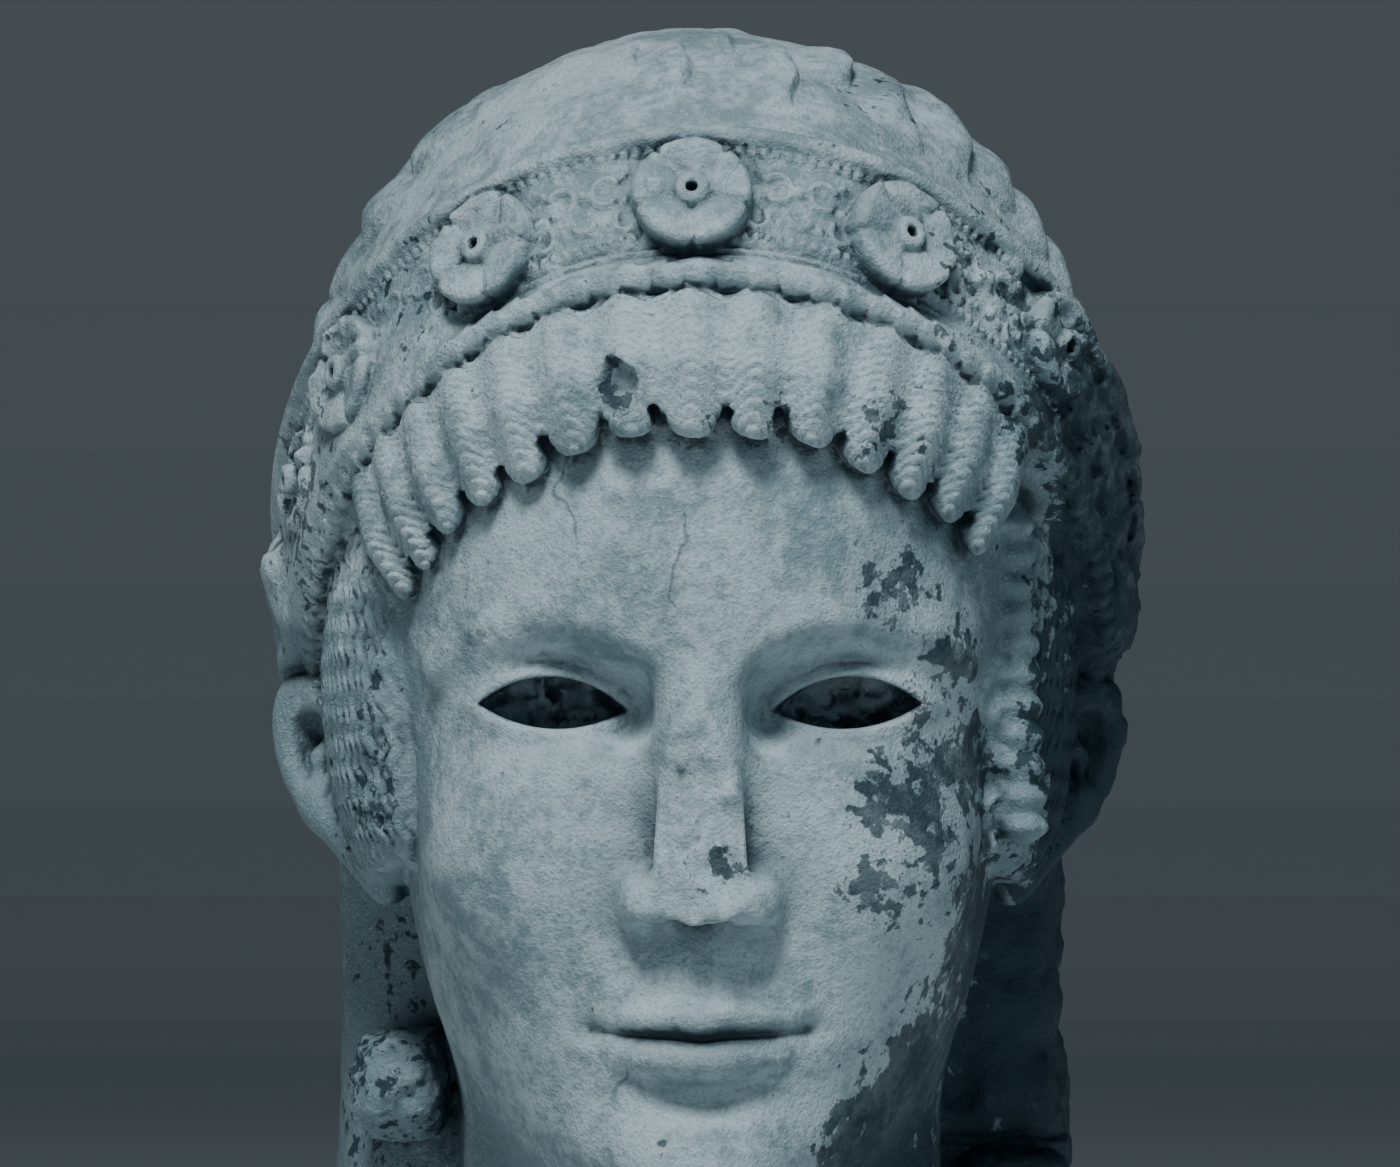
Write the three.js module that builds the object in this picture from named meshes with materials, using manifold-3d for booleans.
// A carved marble head of a goddess with a rosette diadem, cut flat below the neck.
// It is one block of stone. The form is a signed distance field, built up from the
// skull outwards, that is turned into one closed surface and thinned to few faces.
import * as THREE from "three";
import Module from "manifold-3d";

// Driving dimensions, in millimetres. +Z is up and the face looks along -Y.
// The origin is on the flat underside, below the middle of the neck.
const CHIN_Z = 85; // underside of the chin above the flat cut
const SKULL_HEIGHT = 230; // chin to crown of the skull, without the hair
const FACE_HALF_WIDTH = 66; // at the eyes
const FACE_FRONT = 93; // how far the forehead lies in front of the origin
const HAIR_TOP_Z = 350; // highest lock
const HAIR_HALF_WIDTH = 95;
const HAIR_HALF_DEPTH = 108;
const NECK_HALF_WIDTH = 53;
const DIADEM_TILT = 40; // degrees that the diadem's plane falls towards the back
const DIADEM_LEFT_WIDTH = 88; // from the middle of the ring to its left side
const DIADEM_RIGHT_WIDTH = 92;
const DIADEM_HALF_LENGTH = 123; // half the ring, towards the front
const BAND_LOW = -14; // lower edge of the band along the ring's axis
const BAND_HIGH = 24.5; // upper edge of the band
const ROSETTE_RADIUS = 13.1;
const ROSETTE_HEIGHT = 6; // how far a rosette stands out from the band
const LOCK_PITCH = 7.45; // degrees from one fringe lock to the next
const LOCKS_LEFT = 7; // fringe locks on each side of the middle one
const LOCKS_RIGHT = 6;

// How finely the field is sampled, in millimetres, and how many faces are kept.
const CELL = 2.4;
const FACES = 9400;

const rad = THREE.MathUtils.degToRad;
const { abs, atan2, cos, exp, hypot, max, min, round, sin, sqrt } = Math;
const clamp = THREE.MathUtils.clamp;
const smoothstep = THREE.MathUtils.smoothstep;

// Two distances joined, or cut, with a fillet about k wide.
function join(a, b, k) {
  const h = max(k - abs(a - b), 0) / k;
  return min(a, b) - h * h * k * 0.25;
}
const cut = (a, tool, k) => -join(-a, tool, k);
const meet = (a, b, k) => -join(-a, -b, k);

function ellipsoid(x, y, z, c, r) {
  const u = (x - c[0]) / r[0];
  const v = (y - c[1]) / r[1];
  const w = (z - c[2]) / r[2];
  const k = hypot(u, v, w);
  return (k * (k - 1)) / max(hypot(u / r[0], v / r[1], w / r[2]), 1e-6);
}

// An ellipsoid with fuller shoulders: power 2 is the plain one.
function fullEllipsoid(x, y, z, c, r, power) {
  const u = x - c[0];
  const v = y - c[1];
  const w = z - c[2];
  const k = (abs(u / r[0]) ** power + abs(v / r[1]) ** power + abs(w / r[2]) ** power) ** (1 / power);
  return max(hypot(u, v, w), 1e-3 * r[0]) * (1 - 1 / max(k, 1e-3));
}

// Distance to a bar from a to b whose radius goes from ra to rb.
function bar(x, y, z, a, b, ra, rb) {
  const ux = b[0] - a[0];
  const uy = b[1] - a[1];
  const uz = b[2] - a[2];
  const px = x - a[0];
  const py = y - a[1];
  const pz = z - a[2];
  const t = clamp((px * ux + py * uy + pz * uz) / (ux * ux + uy * uy + uz * uz), 0, 1);
  return hypot(px - t * ux, py - t * uy, pz - t * uz) - (ra + (rb - ra) * t);
}

// A smooth curve through [at, value] pairs.
function profile(pairs) {
  const curve = new THREE.CubicInterpolant(pairs.map((p) => p[0]), pairs.map((p) => p[1]), 1, [0]);
  return (s) => curve.evaluate(s)[0];
}

// The face is drawn on the usual canon: the eyes lie halfway up the skull, the hairline,
// brow, nose base and chin are equal steps apart, and the head is five eyes wide.
const CANON_STEP = SKULL_HEIGHT / 3.5;
const EYE_Z = CHIN_Z + SKULL_HEIGHT / 2;
const BROW_Z = CHIN_Z + 2 * CANON_STEP;
const NOSE_BASE_Z = CHIN_Z + CANON_STEP;
const MOUTH_Z = CHIN_Z + (2 * CANON_STEP) / 3;
const EYE_LENGTH = 32;
const EYE_X = EYE_LENGTH;
const FACE_AXIS_Y = -14;
const FACE_FULLNESS = 2.25; // 2 is a plain oval across
const SKULL = { at: [0, 2, 224], size: [72, FACE_FRONT + 3, SKULL_HEIGHT - 149], fullness: 2.3 };

// Half width and front of the face at heights above the chin.
const faceWidth = profile([
  [0, 7], [4, 25], [12, 36], [26, 47], [44, 56], [65, 62], [90, 65.5], [115, FACE_HALF_WIDTH], [150, 69],
]);
const faceFront = profile([
  [0, -58], [4, -78], [12, -87], [20, -88], [30, -85.5], [44, -88], [65, -88], [90, -88.5], [115, -90],
  [131, -94], [150, -FACE_FRONT - 2],
]);
const FACE_TOP = 185; // above the chin, inside the hair

function faceBlock(x, y, z) {
  const h = clamp(z - CHIN_Z, 0, 150);
  const half = faceWidth(h);
  const deep = FACE_AXIS_Y - faceFront(h);
  const v = y - FACE_AXIS_Y;
  const k = (abs(x / half) ** FACE_FULLNESS + abs(v / deep) ** FACE_FULLNESS) ** (1 / FACE_FULLNESS);
  const side = hypot(x, v) * (1 - 1 / max(k, 1e-3));
  return meet(meet(side, CHIN_Z - z, 9), z - CHIN_Z - FACE_TOP, 9);
}

// Features that are ellipsoids, the same on both sides of the face.
const CHEEK = { at: [34, -62, NOSE_BASE_Z + 18], size: [24, 24.5, 27], blend: 14 };
const CHIN = { at: [0, -76, CHIN_Z + 13.5], size: [15, 13.5, 12], blend: 8 };
const SOCKET = { at: [EYE_X + 1.5, -99, EYE_Z + 2.5], size: [25, 21.5, 14], blend: 5 };
const INNER_SOCKET = { at: [16.5, -96, EYE_Z - 1], size: [8.5, 19, 10], blend: 5 };
const EYEBALL = { at: [EYE_X, -64, EYE_Z - 0.5], size: [20, 18, 15], blend: 5 };
const NOSE_WING = { at: [11.3, -90, NOSE_BASE_Z + 7], size: [6.2, 9, 7], blend: 4 };
const UNDER_LIP = { at: [0, -95.5, MOUTH_Z - 14.5], size: [15, 9, 4], blend: 5 };
const feature = (f, x, y, z) => ellipsoid(abs(x), y, z, f.at, f.size);
const addFeature = (d, f, x, y, z) => join(d, feature(f, x, y, z), f.blend);
const cutFeature = (d, f, x, y, z) => cut(d, feature(f, x, y, z), f.blend);

// The outline of an eye, negative inside: two arcs that meet in the corners.
const EYE_TURN = rad(2.5);
const UPPER_RISE = 7;
const LOWER_RISE = 5;
function almond(u, v) {
  const s = u * cos(EYE_TURN) + v * sin(EYE_TURN);
  const t = v * cos(EYE_TURN) - u * sin(EYE_TURN);
  const half = EYE_LENGTH / 2;
  const rise = t > 0 ? UPPER_RISE : LOWER_RISE;
  const r = (half * half + rise * rise) / (2 * rise);
  return hypot(s, abs(t) + r - rise) - r;
}

// A domed eye with thick lids and a deep hollow that once held an inlay.
const LID = 2.1; // thickness of a lid
const EYE_FLOOR_Y = -64;
function eye(d, x, y, z) {
  const u = abs(x) - EYE_X;
  const edge = almond(u, z - EYE_Z);
  d = cutFeature(d, SOCKET, x, y, z);
  d = cutFeature(d, INNER_SOCKET, x, y, z);
  d = addFeature(d, EYEBALL, x, y, z);
  const ball = feature(EYEBALL, x, y, z);
  d = join(d, hypot((edge - 1.7) * 0.8, ball - 0.9) - LID, 1.4);
  const hollow = meet(edge, y - EYE_FLOOR_Y + 0.02 * u * u, 2);
  return y < -60 ? cut(d, hollow, 0.7) : d;
}

// The brow runs from the nose in an arch over each eye: across, front, and above the brow line.
const BROW_POINTS = [[9, -91, -9], [20, -90, 1], [34, -85.5, 4], [48, -77, 0], [57, -66, -8]];
const BROW_RADIUS = 2.6;
function brow(d, x, y, z) {
  let ridge = Infinity;
  for (let i = 1; i < BROW_POINTS.length; i++) {
    const [a, b] = [BROW_POINTS[i - 1], BROW_POINTS[i]].map(([u, v, w]) => [u, v, BROW_Z + w]);
    ridge = min(ridge, bar(abs(x), y, z, a, b, BROW_RADIUS, BROW_RADIUS));
  }
  return join(d, ridge, 6);
}

// The nose is whole at the root and broken off below along a slanting, uneven face.
const NOSE_ROOT = [0, -87, BROW_Z];
const NOSE_TIP = [0, -99, NOSE_BASE_Z + 12];
const NOSE_BREAK_Y = -97;
function nose(d, x, y, z) {
  const bridge = bar(abs(x), y, z, NOSE_ROOT, NOSE_TIP, 6.8, 10.5);
  const whole = addFeature(bridge, NOSE_WING, x, y, z);
  const uneven = 1.4 * sin(x * 0.45 + z * 0.21) + 1.1 * sin(z * 0.4 - x * 0.33);
  const above = 9 * smoothstep(z + 0.3 * x, NOSE_BASE_Z + 40, NOSE_BASE_Z + 54);
  const kept = NOSE_BREAK_Y - y - 0.045 * (EYE_Z - z) - 0.05 * x - uneven - above;
  const stump = meet(meet(whole, kept, 1.2), NOSE_BASE_Z + 2.5 - z, 1.5);
  return join(d, stump, 6);
}

// Two full closed lips, with a cut line between them.
const LIP_BEND = 0.01; // how fast the lips fall back to the sides
const UPPER_LIP = { front: -86.2, above: 3.4, thick: 4.3, half: 25.5 };
const LOWER_LIP = { front: -85.6, above: -4.8, thick: 5.3, half: 20.5 };
const MOUTH_HALF = 23;
function lip(f, side, v, above) {
  const thick = f.thick * sqrt(max(1 - (side / f.half) ** 2, 0)) - max(side - f.half + 1.5, 0);
  return hypot((v - f.front) * 0.75, above - f.above) - thick;
}
function mouth(d, x, y, z) {
  const side = abs(x);
  const v = y - LIP_BEND * x * x;
  const above = z - MOUTH_Z - 0.0024 * x * x + 0.6 * exp(-((x / 5) ** 2));
  d = join(d, lip(UPPER_LIP, side, v, above), 2.2);
  d = join(d, lip(LOWER_LIP, side, v, above), 2.6);
  const line = hypot(above * 1.3, max(side - MOUTH_HALF, 0), (v + 92) * 0.3) - 1.25;
  return cutFeature(cut(d, line, 1.6), UNDER_LIP, x, y, z);
}

function face(x, y, z) {
  let d = fullEllipsoid(x, y, z, SKULL.at, SKULL.size, SKULL.fullness);
  d = join(d, faceBlock(x, y, z), 12);
  d = addFeature(d, CHEEK, x, y, z);
  d = addFeature(d, CHIN, x, y, z);
  d = eye(brow(d, x, y, z), x, y, z);
  d = nose(d, x, y, z);
  return mouth(d, x, y, z);
}

const NECK_Y = 8; // the neck's axis lies behind the origin
function neck(x, y, z) {
  const flare = 4 * smoothstep(35 - z, 0, 45);
  const half = NECK_HALF_WIDTH + flare;
  const k = hypot(x / half, (y - NECK_Y) / (half + 4));
  return meet((k - 1) * half, z - CHIN_Z - 95, 10);
}

// The ring of the diadem lies in a tilted plane. These are a point's place round it:
// turn is the angle from the front, reach the distance from its axis, along the place on it.
const RING_CENTRE_Z = 225;
const RING_HALF_BACK = 94;
const TILT_COS = cos(rad(DIADEM_TILT));
const TILT_SIN = sin(rad(DIADEM_TILT));
function ringPlace(x, y, z) {
  const h = z - RING_CENTRE_Z;
  const front = -TILT_COS * y + TILT_SIN * h;
  return { turn: atan2(x, front), reach: hypot(x, front), along: TILT_SIN * y + TILT_COS * h };
}
function fromRing(turn, reach, along) {
  const front = reach * cos(turn);
  return [
    reach * sin(turn),
    -TILT_COS * front + TILT_SIN * along,
    RING_CENTRE_Z + TILT_SIN * front + TILT_COS * along,
  ];
}

// The ring's radius at an angle. Behind the head it is rounder.
function ringRadius(turn) {
  const wide = turn > 0 ? DIADEM_RIGHT_WIDTH : DIADEM_LEFT_WIDTH;
  const long = cos(turn) > 0 ? DIADEM_HALF_LENGTH : RING_HALF_BACK;
  return 1 / hypot(sin(turn) / wide, cos(turn) / long);
}
const BAND_MIDDLE = (BAND_LOW + BAND_HIGH) / 2;
const BAND_FLARE = 0.235;
const bandRadius = (turn, along) => ringRadius(turn) + BAND_FLARE * (along - BAND_MIDDLE);

// A broad band with a thick moulding below and a thin one above.
const BAND_END = rad(112);
const BAND_THICKNESS = 16;
const LOW_ROLL = 3.6;
const HIGH_ROLL = 2.6;
function band(p) {
  const outer = p.reach - bandRadius(p.turn, clamp(p.along, BAND_LOW, BAND_HIGH));
  const end = (abs(p.turn) - BAND_END) * p.reach;
  let d = meet(outer, abs(p.along - BAND_MIDDLE) - (BAND_HIGH - BAND_LOW) / 2 + 1, 1.5);
  d = max(d, -outer - BAND_THICKNESS);
  const lowAt = BAND_LOW + LOW_ROLL;
  const highAt = BAND_HIGH - HIGH_ROLL;
  const low = hypot(p.reach - bandRadius(p.turn, lowAt), p.along - lowAt) - LOW_ROLL;
  const high = hypot(p.reach - bandRadius(p.turn, highAt) - 0.3, p.along - highAt) - HIGH_ROLL;
  d = join(join(d, low, 0.7), high, 0.7);
  return meet(d, end, 3);
}

// Rosettes: degrees from the front, size, how worn each is from 0 to 1, and how far each
// sits above the middle of the band.
const ROSETTES = [
  [-0.8, 1, 0.15, 2], [21.2, 1, 0.3, 2], [-23.2, 1, 0.3, 2], [47, 0.95, 0.4, 5], [-49, 1, 0.45, 2],
  [-71, 0.85, 0.9, 2], [-95, 0.9, 0.9, 2],
].map(([degrees, size, worn, rise]) => {
  const turn = rad(degrees);
  const place = (t, along) => new THREE.Vector3(...fromRing(t, bandRadius(t, along), along));
  const at = place(turn, BAND_MIDDLE);
  const across = place(turn + 0.01, BAND_MIDDLE).sub(at).normalize();
  const out = across.clone().cross(place(turn, BAND_MIDDLE + 1).sub(at)).normalize();
  const high = out.clone().cross(across).normalize();
  at.addScaledVector(high, rise);
  return { at, across, out, high, radius: ROSETTE_RADIUS * size, worn };
});
const PETALS = 5;
const PETAL_STEP = (2 * Math.PI) / PETALS;
const BOSS_RADIUS = 3.9;
const BOSS_HOLE = 1.4;

function rosette(r, x, y, z) {
  const p = new THREE.Vector3(x, y, z).sub(r.at);
  const lift = p.dot(r.out);
  const u = p.dot(r.across);
  const v = p.dot(r.high);
  const from = hypot(u, v);
  const angle = (atan2(v, u) + rad(90)) / PETAL_STEP;
  const beside = abs(angle - round(angle)) * PETAL_STEP * from;
  const notch = exp(-((beside / 1.1) ** 2));
  const broken = 2.2 * smoothstep(v + 0.3 * u, 2.5, 5) * (0.4 + r.worn);
  const dish = 1.1 * smoothstep(from, 5, r.radius - 1);
  const top = ROSETTE_HEIGHT - 1 + dish - 0.7 * notch - 1.3 * r.worn - broken;
  let d = meet(from - r.radius + 0.8 * notch, abs(lift) - top, 1.8);
  const boss = meet(from - BOSS_RADIUS, lift - ROSETTE_HEIGHT - 0.6 + 0.8 * r.worn, 1.6);
  d = join(d, max(boss, -lift), 0.5);
  return cut(d, max(from - BOSS_HOLE, 3 - lift), 0.5);
}

// The fringe is a sheet of hair that comes out from under the band and turns in to the
// forehead, in soft ridges whose rounded ends are parted by drilled channels.
const SHEET_PATH = [[111, -2], [112.5, -16], [108.5, -27], [96.2, -37]]; // reach and along
const SHEET_HALF = 5; // half its thickness
const SHEET_LENGTH = 14.6; // of its last part, down to the tips
const RIDGE_RISE = 2.4;
const LOOP_RADIUS = 4.2; // of the rounded ends
const NOTCH_LENGTH = 5.6;
const NOTCH_SHORTER = 1.8; // at the sides
const NOTCH_HALF = 1.6;
const NOTCH_BACK = 92.5; // the reach at which a channel ends
const LOCK_TURN = rad(LOCK_PITCH);
const FRINGE_OFFSET = rad(1.1); // the middle lock sits a little to one side
function pathDistance(reach, along) {
  let best = Infinity;
  for (let i = 1; i < SHEET_PATH.length; i++) {
    const [ar, az] = SHEET_PATH[i - 1];
    const [br, bz] = SHEET_PATH[i];
    const ur = br - ar;
    const uz = bz - az;
    const t = clamp(((reach - ar) * ur + (along - az) * uz) / (ur * ur + uz * uz), 0, 1);
    best = min(best, hypot(reach - ar - t * ur, along - az - t * uz));
  }
  return best;
}
function fringe(p) {
  const scale = ringRadius(p.turn) / DIADEM_HALF_LENGTH;
  const reach = p.reach / scale;
  const turn = p.turn + FRINGE_OFFSET;
  const lock = clamp(round(turn / LOCK_TURN), -LOCKS_LEFT, LOCKS_RIGHT);
  const aside = (turn - lock * LOCK_TURN) * p.reach;
  const halfLock = (LOCK_TURN * p.reach) / 2;
  const ridge = cos(Math.PI * clamp(aside / halfLock, -1, 1));
  const swell = RIDGE_RISE * (0.5 + 0.5 * ridge) * (0.75 + 0.25 * smoothstep(-p.along, 12, 30));
  let d = (pathDistance(reach, p.along) - SHEET_HALF) * scale - swell;
  // How far down the last part of the sheet a point lies, and where that lock ends.
  const [[ar, az], [br, bz]] = SHEET_PATH.slice(-2);
  const down = ((reach - ar) * (br - ar) + (p.along - az) * (bz - az)) / hypot(br - ar, bz - az);
  const over = clamp(abs(aside) - (halfLock - 1 - LOOP_RADIUS), 0, LOOP_RADIUS);
  const bow = LOOP_RADIUS - sqrt(LOOP_RADIUS ** 2 - over ** 2);
  const drop = 1.2 * (lock / LOCKS_LEFT) ** 2 + 0.9 * sin(lock * 1.9 + 1) + 0.12 * aside;
  d = meet(d, down - SHEET_LENGTH - drop + bow, 4);
  const end = (turn > 0 ? LOCKS_RIGHT : LOCKS_LEFT) + 0.45;
  d = meet(d, (abs(turn) - end * LOCK_TURN) * p.reach, 3);
  const groove = clamp(round(turn / LOCK_TURN - 0.5), -LOCKS_LEFT, LOCKS_RIGHT - 1) + 0.5;
  const offGroove = (turn - groove * LOCK_TURN) * p.reach;
  const length = NOTCH_LENGTH - NOTCH_SHORTER * (groove / LOCKS_LEFT) ** 2;
  const notch = hypot(offGroove, max(SHEET_LENGTH - length - down, 0)) - NOTCH_HALF;
  return cut(d, max(notch, NOTCH_BACK - reach), 0.6);
}

// Carved locks near the crown's outline as it is seen from the front: degrees round the
// ring, place along its axis, half width, half length, and how far each stands out.
const CROWN_LOBES = [
  [-9.5, 69, 3.6, 9, 2], [-3.9, 64, 4.6, 15, 2.6], [2.1, 71, 4.6, 9, 3.2], [8.7, 61, 4.5, 17, 3.4],
  [17, 74, 5, 12, 3.6], [24, 63, 5.5, 19, 3.8], [33, 68, 7, 21, 4.2], [43, 68, 7, 16, 4.8],
  [50, 61, 6, 14, 4.8], [57, 53, 6, 13, 4.8], [64, 45, 5.5, 11, 4.2], [71, 36, 5, 9, 3.4],
  [-18, 73, 6, 10, 1.2], [-27, 75, 8, 12, 1.8], [-38, 74, 9, 13, 3.6], [-50, 64, 8, 13, 4.6],
  [-58, 56, 6.5, 11, 4.2], [-65, 47, 6.5, 10, 4], [-72, 37, 5.5, 9, 3.2],
].map(([degrees, at, half, long, rise]) => {
  return { turn: rad(degrees), at, half, long, rise, lean: degrees > -12 ? 1 : -1 };
});
const CROWN_CENTRE_Y = 5;
const CROWN_FRONT = 117; // how far the crown reaches forward, behind the band
const CROWN_FULLNESS = 2.1;
const CROWN_LOW = BAND_LOW + 3;
const RIDGE = 3.5;
const BACK_LOCKS = 36;
const BACK_LOCKS_START = 104; // along the ring's axis, in front; they start lower at the sides
const BACK_LOCKS_SIDE = 44;
function crown(x, y, z, p) {
  const deep = y < CROWN_CENTRE_Y ? CROWN_FRONT : HAIR_HALF_DEPTH - RIDGE;
  const radii = [HAIR_HALF_WIDTH - RIDGE, deep, HAIR_TOP_Z - RING_CENTRE_Z];
  const body = fullEllipsoid(x, y, z, [0, CROWN_CENTRE_Y, RING_CENTRE_Z], radii, CROWN_FULLNESS);
  let raised = 0;
  // Each lock rises slowly from one side and falls steeply on the other.
  for (const lobe of CROWN_LOBES) {
    const s = ((p.turn - lobe.turn) * p.reach * lobe.lean) / lobe.half;
    const v = (p.along - lobe.at) / lobe.long;
    if (abs(s) > 2 || abs(v) > 1) continue;
    const fold = smoothstep(s, -1.7, 0.5) * (1 - smoothstep(s, 0.7, 1.1));
    raised = max(raised, lobe.rise * fold * (1 - v * v) ** 0.6);
  }
  // Plain locks start behind them and run over the back of the head to the ring's axis.
  const pitch = (2 * Math.PI) / BACK_LOCKS;
  const across = (p.turn / pitch - round(p.turn / pitch)) * 2;
  const beside = smoothstep(abs(p.turn), rad(15), rad(75));
  const start = BACK_LOCKS_START + (BACK_LOCKS_SIDE - BACK_LOCKS_START) * beside;
  const behind = max(smoothstep(-cos(p.turn), -0.25, 0.1), smoothstep(p.along, start, start + 15));
  raised = max(raised, RIDGE * sqrt(1 - across * across) * behind * smoothstep(p.reach, 12, 50));
  return meet(body - raised, CROWN_LOW - p.along, 2);
}

// Broken lumps of hair behind the diadem, above each ear.
const SIDE_LUMPS = [
  { at: [-88, 8, 226], size: [8.5, 12, 11] },
  { at: [-87, 3, 245], size: [6.5, 10, 8] },
  { at: [-85, -2, 260], size: [6.5, 9, 8] },
  { at: [89, 8, 224], size: [8, 12, 13] },
  { at: [87.5, 3, 247], size: [8, 11, 11] },
  { at: [85, -2, 263], size: [7, 9, 8] },
];
function sideLumps(x, y, z) {
  const knobs = 0.2 + 1.3 * sin(x * 0.5 + 1) * sin(z * 0.55) + 0.8 * sin(y * 0.6 + z * 0.3);
  let d = Infinity;
  for (const lump of SIDE_LUMPS) d = min(d, fullEllipsoid(x, y, z, lump.at, lump.size, 2.4) - knobs);
  return d;
}

// The temple hair hangs in front of each ear in wavy strands, and is broken off below.
const TEMPLE = { at: [0, 2, EYE_Z + 12], size: [82.5, 78, 84], fullness: 2.6 };
const TEMPLE_INNER = 61; // from the head's middle to the hair's inner side
const TEMPLE_BACK = 12; // the hair ends behind the ears
const STRAND = 5.6; // width of a strand
function templeHair(x, y, z) {
  const side = abs(x);
  const arc = atan2(side, -y - 4) * TEMPLE.size[0];
  const strand = 1.8 * abs(sin((Math.PI * (arc + 1.5 * sin(z * 0.5))) / STRAND));
  const body = fullEllipsoid(side, y, z, TEMPLE.at, TEMPLE.size, TEMPLE.fullness) + 0.9 - strand;
  const front = -52 - 0.06 * (z - 200) - y + 1.2 * sin(z * 0.5 + 1);
  const low = NOSE_BASE_Z + 13 - z - 0.15 * (y + 30);
  return meet(meet(meet(body, front, 3), low, 4), max(TEMPLE_INNER - side, y - TEMPLE_BACK), 3);
}

// Each ear lies in its own plane: up runs to its top, out away from the head.
const EAR_AT = new THREE.Vector3(80.5, 1, EYE_Z - 13);
const EAR_UP = new THREE.Vector3(0.4, 0.26, 0.88).normalize();
const EAR_WIDE = EAR_UP.clone().cross(new THREE.Vector3(0.66, -0.72, 0)).normalize();
const EAR_OUT = EAR_WIDE.clone().cross(EAR_UP).normalize();
const EAR_HALF = 12.5;
const EAR_ABOVE = 21;
const EAR_BELOW = 27;
const LOBE_ROLL = { from: [82, 1, 178], to: [68.5, -8, 161], thick: 5.6, thin: 4.6 };
function ear(x, y, z) {
  const p = new THREE.Vector3(abs(x), y, z).sub(EAR_AT);
  const u = p.dot(EAR_WIDE);
  const v = p.dot(EAR_UP);
  const w = p.dot(EAR_OUT);
  const half = EAR_HALF - 5 * smoothstep(-v, -2, 22);
  const tall = v > 0 ? EAR_ABOVE : EAR_BELOW;
  const edge = (hypot(u / half, v / tall) - 1) * min(half, tall) * 0.95;
  const plate = meet(edge, abs(w + 3) - 4.2, 3);
  const helix = meet(hypot(edge + 2.6, w - 1.6) - 3.1, -v - 12, 4);
  const shell = ellipsoid(u, v, w, [-0.5, 2, 4], [6.3, 11, 9]);
  const d = cut(join(plate, helix, 1.5), shell, 1.2);
  // The lobe runs on as a smooth roll towards the jaw.
  return join(d, bar(abs(x), y, z, LOBE_ROLL.from, LOBE_ROLL.to, LOBE_ROLL.thick, LOBE_ROLL.thin), 4);
}

// Long hair falls behind the ears and the neck to the cut.
const fallWidth = profile([[0, 81], [60, 80], [95, 80.5], [125, 79], [150, 79], [175, 80], [215, 74]]);
const fallBack = profile([[0, 92], [60, 95], [120, 100], [170, 106], [215, 111]]);
const FALL_FRONT = 14;
const FALL_TOP = 222;
const FALL_FULLNESS = 3; // the plan's squareness; behind it grows rounder towards the crown
const FALL_ROUNDER = 0.9;
const TRESSES = 9;
const TRESS_RISE = 4;
const CRUST = { z: 115, half: 9, rise: 2 }; // a thick crust on the right side
function fallingHair(x, y, z) {
  const half = fallWidth(z);
  const deep = (fallBack(z) - FALL_FRONT) / 2;
  const v = y - FALL_FRONT - deep;
  const full = FALL_FULLNESS - (v > 0 ? FALL_ROUNDER * smoothstep(z, 110, 200) : 0);
  const k = (abs(x / half) ** full + abs(v / deep) ** full) ** (1 / full);
  const body = hypot(x, v) * (1 - 1 / max(k, 1e-3));
  const pitch = (2 * half) / TRESSES;
  const across = abs(x / pitch - round(x / pitch)) * 2;
  const tress = TRESS_RISE * sqrt(max(1 - across * across, 0)) * smoothstep(y, 62, 84);
  const crust = CRUST.rise * smoothstep(x, 50, 70) * exp(-(((z - CRUST.z) / CRUST.half) ** 2));
  return meet(body - tress - crust, z - FALL_TOP, 40);
}

// A deep channel parts the jaw from the hair behind it.
const JAW_GAP = { from: [63.5, 13, 160], to: [58, 18, 114], wide: 6.5, narrow: 4.5 };
const jawGap = (x, y, z) => bar(abs(x), y, z, JAW_GAP.from, JAW_GAP.to, JAW_GAP.wide, JAW_GAP.narrow);

// Stumps of the locks that once came forward over the shoulders.
const STUMPS = [
  { at: [-65, 12, 116.5], size: [10.5, 17, 11.5] },
  { at: [70, 22, 92], size: [12, 15, 10] },
];
function stumps(x, y, z) {
  const knobs = 1.1 * sin(x * 0.45 + 1) * sin(z * 0.4 + 2) + 0.8 * sin(y * 0.5 + z * 0.3);
  return min(...STUMPS.map((s) => fullEllipsoid(x, y, z, s.at, s.size, 3.4) - knobs));
}

function head(x, y, z) {
  const p = ringPlace(x, y, z);
  let d = join(face(x, y, z), neck(x, y, z), 8);
  d = join(d, fallingHair(x, y, z), 3);
  d = join(d, crown(x, y, z, p), 6);
  if (abs(x) > 70) d = join(d, sideLumps(x, y, z), 4);
  d = join(d, templeHair(x, y, z), 1.5);
  d = join(d, ear(x, y, z), 1.5);
  if (p.along > BAND_LOW - 40 && p.along < 10 && abs(p.turn) < rad(60)) d = join(d, fringe(p), 0.8);
  d = cut(d, jawGap(x, y, z), 3);
  d = join(d, stumps(x, y, z), 3);
  if (abs(p.along - BAND_MIDDLE) < 30) d = join(d, band(p), 0.8);
  for (const r of ROSETTES) {
    if (hypot(x - r.at.x, y - r.at.y, z - r.at.z) < 26) d = join(d, rosette(r, x, y, z), 0.5);
  }
  return d;
}

// Whether each set of a cube's corners, given as bits, hangs together along its edges.
const HANGS_TOGETHER = Array.from({ length: 256 }, (_, set) => {
  let seen = set & -set;
  for (let pass = 0; pass < 4; pass++)
    for (let c = 0; c < 8; c++)
      if ((seen >> c) & 1) for (const bit of [1, 2, 4]) seen |= (1 << (c ^ bit)) & set;
  return seen === set;
});

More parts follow.
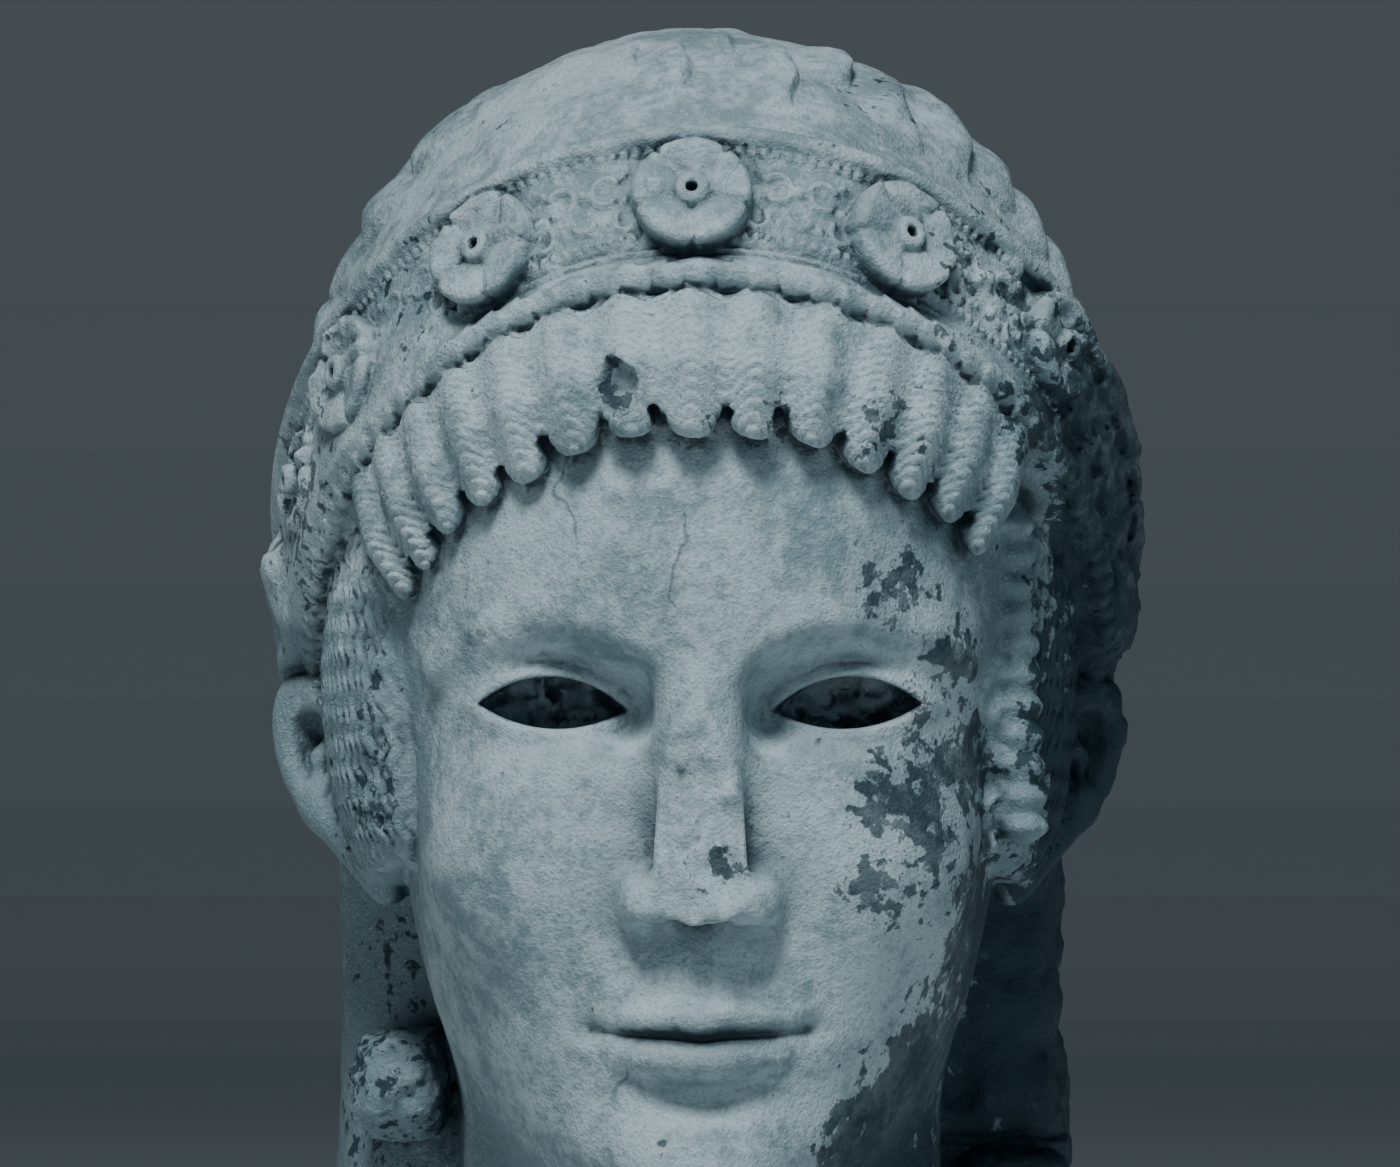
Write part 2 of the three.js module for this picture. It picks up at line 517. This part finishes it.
// Fills hollows that no way leads into, by a walk through the air from the grid's first corner.
function fillHollows(values, steps) {
  const reached = new Uint8Array(values.length);
  const walk = [0];
  reached[0] = 1;
  while (walk.length) {
    const here = walk.pop();
    for (const step of steps)
      for (const next of [here + step, here - step]) {
        if (values[next] < 0 || !(next in values) || reached[next]) continue;
        reached[next] = 1;
        walk.push(next);
      }
  }
  for (let i = 0; i < values.length; i++) if (!reached[i] && values[i] >= 0) values[i] = -1e-3;
}

// Fills cells through which the surface would pass twice, so that it never touches itself.
function fillPinches(values, [nx, ny, nz], offsets) {
  const doubtful = [];
  for (let k = 0; k < nz - 1; k++)
    for (let j = 0; j < ny - 1; j++) for (let i = 0; i < nx - 1; i++) doubtful.push((k * ny + j) * nx + i);
  while (doubtful.length) {
    const cell = doubtful.pop();
    let set = 0;
    offsets.forEach((step, c) => (set |= (values[cell + step] < 0 ? 1 : 0) << c));
    if (HANGS_TOGETHER[set] && HANGS_TOGETHER[255 - set]) continue;
    let nearest = -1;
    for (const step of offsets) {
      const value = values[cell + step];
      if (value >= 0 && (nearest < 0 || value < values[nearest])) nearest = cell + step;
    }
    values[nearest] = -1e-3;
    for (const step of offsets) doubtful.push(nearest - step);
  }
}

// The surface where the field is nought: one point in each cell that it passes through,
// moved on to it, and four-sided faces between neighbouring cells, cut into triangles.
function surface(field, low, high, cell) {
  const size = low.map((a, i) => Math.ceil((high[i] - a) / cell) + 1);
  const [nx, ny, nz] = size;
  const at = (i, j, k) => (k * ny + j) * nx + i;
  const values = new Float32Array(nx * ny * nz);
  for (let k = 0; k < nz; k++)
    for (let j = 0; j < ny; j++)
      for (let i = 0; i < nx; i++)
        values[at(i, j, k)] = field(low[0] + i * cell, low[1] + j * cell, low[2] + k * cell);
  const steps = [at(1, 0, 0), at(0, 1, 0), at(0, 0, 1)];
  const corners = [0, 1, 2, 3, 4, 5, 6, 7].map((c) => [c & 1, (c >> 1) & 1, (c >> 2) & 1]);
  fillPinches(values, size, corners.map(([a, b, c]) => at(a, b, c)));
  fillHollows(values, steps);
  const point = new Int32Array(values.length).fill(-1);
  const positions = [];
  for (let k = 0; k < nz - 1; k++)
    for (let j = 0; j < ny - 1; j++)
      for (let i = 0; i < nx - 1; i++) {
        const sum = [0, 0, 0];
        let crossings = 0;
        for (const [a, b, c] of corners) {
          const here = values[at(i + a, j + b, k + c)];
          [a, b, c].forEach((bit, axis) => {
            if (bit) return;
            const there = values[at(i + a, j + b, k + c) + steps[axis]];
            if (here < 0 === there < 0) return;
            const q = [a, b, c];
            q[axis] += here / (here - there);
            q.forEach((value, n) => (sum[n] += value));
            crossings++;
          });
        }
        if (!crossings) continue;
        point[at(i, j, k)] = positions.length / 3;
        positions.push(
          low[0] + (i + sum[0] / crossings) * cell,
          low[1] + (j + sum[1] / crossings) * cell,
          low[2] + (k + sum[2] / crossings) * cell,
        );
      }
  const faces = [];
  for (let k = 1; k < nz - 1; k++)
    for (let j = 1; j < ny - 1; j++)
      for (let i = 1; i < nx - 1; i++)
        for (let axis = 0; axis < 3; axis++) {
          const here = at(i, j, k);
          const inside = values[here] < 0;
          if (inside === values[here + steps[axis]] < 0) continue;
          const u = steps[(axis + 1) % 3];
          const v = steps[(axis + 2) % 3];
          const ring = [here, here - u, here - u - v, here - v].map((n) => point[n]);
          if (!inside) ring.reverse();
          faces.push(ring[0], ring[1], ring[2], ring[0], ring[2], ring[3]);
        }
  return { positions, faces };
}

// Moves each point along the field's slope until it lies on the surface.
function settle(positions, field, farthest) {
  const e = 0.05;
  for (let i = 0; i < positions.length; i += 3) {
    let [x, y, z] = [positions[i], positions[i + 1], positions[i + 2]];
    for (let pass = 0; pass < 3; pass++) {
      const d = field(x, y, z);
      const g = [field(x + e, y, z) - d, field(x, y + e, z) - d, field(x, y, z + e) - d].map((a) => a / e);
      const length2 = max(g[0] ** 2 + g[1] ** 2 + g[2] ** 2, 0.2);
      const step = clamp(d / length2, -farthest, farthest) * 0.8;
      x -= step * g[0];
      y -= step * g[1];
      z -= step * g[2];
    }
    [positions[i], positions[i + 1], positions[i + 2]] = [x, y, z];
  }
}

// A heap of [cost, edge, stamp] entries with the cheapest on top.
class Heap {
  items = [];
  push(item) {
    const a = this.items;
    let i = a.push(item) - 1;
    while (i > 0) {
      const up = (i - 1) >> 1;
      if (a[up][0] <= item[0]) break;
      a[i] = a[up];
      i = up;
    }
    a[i] = item;
  }
  pop() {
    const a = this.items;
    const top = a[0];
    const item = a.pop();
    if (!a.length) return top;
    let i = 0;
    for (;;) {
      let down = 2 * i + 1;
      if (down >= a.length) break;
      if (down + 1 < a.length && a[down + 1][0] < a[down][0]) down++;
      if (a[down][0] >= item[0]) break;
      a[i] = a[down];
      i = down;
    }
    a[i] = item;
    return top;
  }
}

// Thins a closed triangle mesh to the wanted number of faces by closing up edges,
// the ones that change the form least first.
function thin({ positions, faces }, wanted) {
  const count = positions.length / 3;
  const quadrics = Array.from({ length: count }, () => new Float64Array(10));
  const facesAt = Array.from({ length: count }, () => new Set());
  const alive = new Uint8Array(faces.length / 3).fill(1);
  const stamp = new Int32Array(count);
  const get = (v) => [positions[3 * v], positions[3 * v + 1], positions[3 * v + 2]];
  const normal = (a, b, c) => {
    const u = [b[0] - a[0], b[1] - a[1], b[2] - a[2]];
    const v = [c[0] - a[0], c[1] - a[1], c[2] - a[2]];
    return [u[1] * v[2] - u[2] * v[1], u[2] * v[0] - u[0] * v[2], u[0] * v[1] - u[1] * v[0]];
  };
  for (let f = 0; f < alive.length; f++) {
    const ids = [faces[3 * f], faces[3 * f + 1], faces[3 * f + 2]];
    const [a, b, c] = ids.map(get);
    const n = normal(a, b, c);
    const length = hypot(...n) || 1;
    const plane = [n[0] / length, n[1] / length, n[2] / length];
    plane.push(-(plane[0] * a[0] + plane[1] * a[1] + plane[2] * a[2]));
    for (const id of ids) {
      facesAt[id].add(f);
      let m = 0;
      for (let r = 0; r < 4; r++)
        for (let s = r; s < 4; s++) quadrics[id][m++] += plane[r] * plane[s] * length * 0.5;
    }
  }
  const error = (q, [x, y, z]) =>
    q[0] * x * x + 2 * q[1] * x * y + 2 * q[2] * x * z + 2 * q[3] * x + q[4] * y * y +
    2 * q[5] * y * z + 2 * q[6] * y + q[7] * z * z + 2 * q[8] * z + q[9];
  const neighbours = (v) => {
    const found = new Set();
    for (const f of facesAt[v]) for (let c = 0; c < 3; c++) found.add(faces[3 * f + c]);
    found.delete(v);
    return found;
  };
  // The point that fits both ends' planes best, or the better of the ends and the middle.
  const placeFor = (a, b) => {
    const q = quadrics[a].map((value, i) => value + quadrics[b][i]);
    const pa = get(a);
    const pb = get(b);
    const middle = pa.map((value, i) => (value + pb[i]) / 2);
    const options = [pa, pb, middle];
    const solver = new THREE.Matrix3().set(q[0], q[1], q[2], q[1], q[4], q[5], q[2], q[5], q[7]);
    if (abs(solver.determinant()) > 1e-4) {
      const best = new THREE.Vector3(-q[3], -q[6], -q[8]).applyMatrix3(solver.invert());
      const reachable = hypot(best.x - middle[0], best.y - middle[1], best.z - middle[2]);
      if (reachable < 2 * hypot(pa[0] - pb[0], pa[1] - pb[1], pa[2] - pb[2])) options.unshift(best.toArray());
    }
    let place = options[0];
    let least = Infinity;
    for (const option of options) {
      const cost = error(q, option);
      if (cost < least) [least, place] = [cost, option];
    }
    const length = hypot(pa[0] - pb[0], pa[1] - pb[1], pa[2] - pb[2]);
    return { place, cost: max(least, 0) + 1e-4 * length * length };
  };
  const heap = new Heap();
  const offer = (a, b) => heap.push([placeFor(a, b).cost, a, b, stamp[a], stamp[b]]);
  for (let v = 0; v < count; v++) for (const n of neighbours(v)) if (v < n) offer(v, n);
  // A face must not turn over, or become a sliver, when one of its corners moves.
  const spoils = (v, other, place) => {
    for (const f of facesAt[v]) {
      const ids = [faces[3 * f], faces[3 * f + 1], faces[3 * f + 2]];
      if (ids.includes(other)) continue;
      const before = ids.map(get);
      const after = ids.map((id, i) => (id === v ? place : before[i]));
      const m = normal(...before);
      const n = normal(...after);
      const area = hypot(...n);
      if (m[0] * n[0] + m[1] * n[1] + m[2] * n[2] < 0.25 * hypot(...m) * area) return true;
      const longest = max(
        hypot(...after[0].map((a, i) => a - after[1][i])),
        hypot(...after[1].map((a, i) => a - after[2][i])),
        hypot(...after[2].map((a, i) => a - after[0][i])),
      );
      if (area < 0.06 * longest * longest) return true;
    }
    return false;
  };
  let left = alive.length;
  while (left > wanted && heap.items.length) {
    const [, a, b, stampA, stampB] = heap.pop();
    if (stamp[a] !== stampA || stamp[b] !== stampB || !facesAt[a].size || !facesAt[b].size) continue;
    const around = neighbours(a);
    if (!around.has(b)) continue;
    let shared = 0;
    for (const n of neighbours(b)) if (around.has(n)) shared++;
    const { place } = placeFor(a, b);
    if (shared !== 2 || spoils(a, b, place) || spoils(b, a, place)) continue;
    [positions[3 * a], positions[3 * a + 1], positions[3 * a + 2]] = place;
    quadrics[a].forEach((_, i) => (quadrics[a][i] += quadrics[b][i]));
    for (const f of facesAt[b]) {
      const corner = [0, 1, 2].find((c) => faces[3 * f + c] === b);
      if (facesAt[a].has(f)) {
        alive[f] = 0;
        left--;
        for (let c = 0; c < 3; c++) if (faces[3 * f + c] !== b) facesAt[faces[3 * f + c]].delete(f);
      } else {
        faces[3 * f + corner] = a;
        facesAt[a].add(f);
      }
    }
    facesAt[b].clear();
    stamp[b]++;
    stamp[a]++;
    for (const n of neighbours(a)) {
      offer(a, n);
    }
  }
  const kept = [];
  for (let f = 0; f < alive.length; f++) if (alive[f]) kept.push(...faces.slice(3 * f, 3 * f + 3));
  return { positions, faces: kept };
}

const BELOW_CUT = 6; // stone sampled below the underside before it is cut flat
const low = [-112, -120, -BELOW_CUT];
const high = [112, 122, HAIR_TOP_Z + 8];
const boxed = (x, y, z) => max(head(x, y, z), -z - BELOW_CUT + CELL);
const rough = surface(boxed, low, high, CELL);
settle(rough.positions, boxed, CELL / 2);
const thinned = thin(rough, FACES);

const wasm = await Module();
wasm.setup();

// A solid for joining and cutting, from points and triangles.
function solid({ positions, faces }) {
  const used = new Map();
  const vertProperties = [];
  const triVerts = faces.map((id) => {
    if (!used.has(id)) {
      used.set(id, used.size);
      vertProperties.push(positions[3 * id], positions[3 * id + 1], positions[3 * id + 2]);
    }
    return used.get(id);
  });
  return new wasm.Manifold(
    new wasm.Mesh({
      numProp: 3,
      vertProperties: new Float32Array(vertProperties),
      triVerts: new Uint32Array(triVerts),
    }),
  );
}

// The block below the underside, which is sawn off flat.
function offcut() {
  const box = new THREE.BoxGeometry(400, 400, 40).translate(0, 0, -20).toNonIndexed();
  const corners = new Map();
  const positions = [];
  const faces = [];
  const source = box.getAttribute("position");
  for (let i = 0; i < source.count; i++) {
    const key = [source.getX(i), source.getY(i), source.getZ(i)].join();
    if (!corners.has(key)) {
      corners.set(key, corners.size);
      positions.push(source.getX(i), source.getY(i), source.getZ(i));
    }
    faces.push(corners.get(key));
  }
  return solid({ positions, faces });
}

function geometryOf(made) {
  const mesh = made.getMesh();
  const geometry = new THREE.BufferGeometry();
  const points = new Float32Array(mesh.numVert * 3);
  for (let i = 0; i < mesh.numVert; i++)
    points.set(mesh.vertProperties.subarray(i * mesh.numProp, i * mesh.numProp + 3), 3 * i);
  geometry.setAttribute("position", new THREE.BufferAttribute(points, 3));
  geometry.setIndex(new THREE.BufferAttribute(mesh.triVerts, 1));
  geometry.computeVertexNormals();
  return geometry;
}

const marble = new THREE.MeshStandardMaterial({ color: 0x9aa9ac, roughness: 0.8, metalness: 0 });
const statue = new THREE.Group();
const block = new THREE.Mesh(geometryOf(solid(thinned).subtract(offcut())), marble);
block.name = "head";
statue.add(block);

export default statue;
